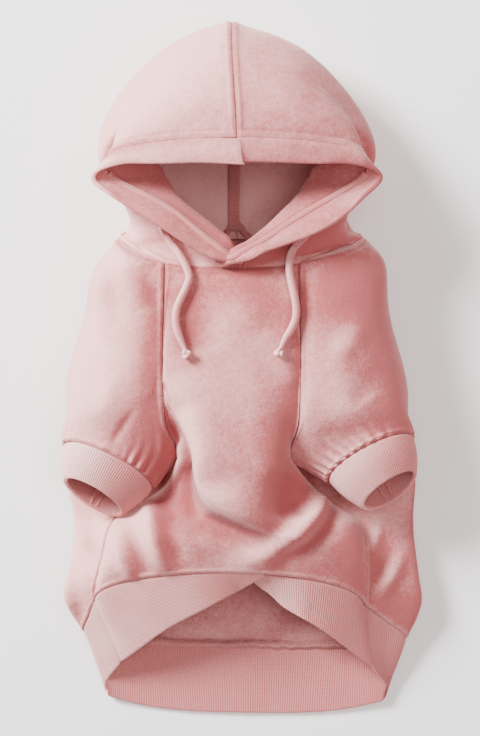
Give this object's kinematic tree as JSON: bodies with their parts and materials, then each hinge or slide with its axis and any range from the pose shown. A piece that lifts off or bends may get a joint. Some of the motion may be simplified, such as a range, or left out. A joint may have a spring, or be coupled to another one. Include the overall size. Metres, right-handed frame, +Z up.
{
  "type": "dog hoodie",
  "caption": "Dog's velour hoodie lying on its back, with raglan sleeves, ribbed cuffs and hem band, an open hood with a stitched band, and two knotted drawcords.",
  "frame": {"origin": "on the flat underside of the back panel, at the middle of the body, on the surface that the hoodie lies on", "axes": "+Y from the hem to the hood, +Z up from the surface through the belly side, +X to the right as seen from above"},
  "size_m": [0.242, 0.4655, 0.094],
  "materials": {
    "velour": "soft short pile with a pale sheen",
    "rib_knit": "fine ribbed knit, matt",
    "drawcord": "soft round cord, matt"
  },
  "bodies": {
    "root": {"back_panel": "velour", "chest_panel": "velour", "sleeve_left": "velour", "sleeve_right": "velour", "hood_left": "velour", "hood_right": "velour", "hood_band_left": "velour", "hood_band_right": "velour", "cuff_left": "rib_knit", "cuff_right": "rib_knit", "hem_band": "rib_knit", "cord_left": "drawcord", "cord_right": "drawcord", "cord_knot_left": "drawcord", "cord_knot_right": "drawcord"}
  },
  "joints": []
}
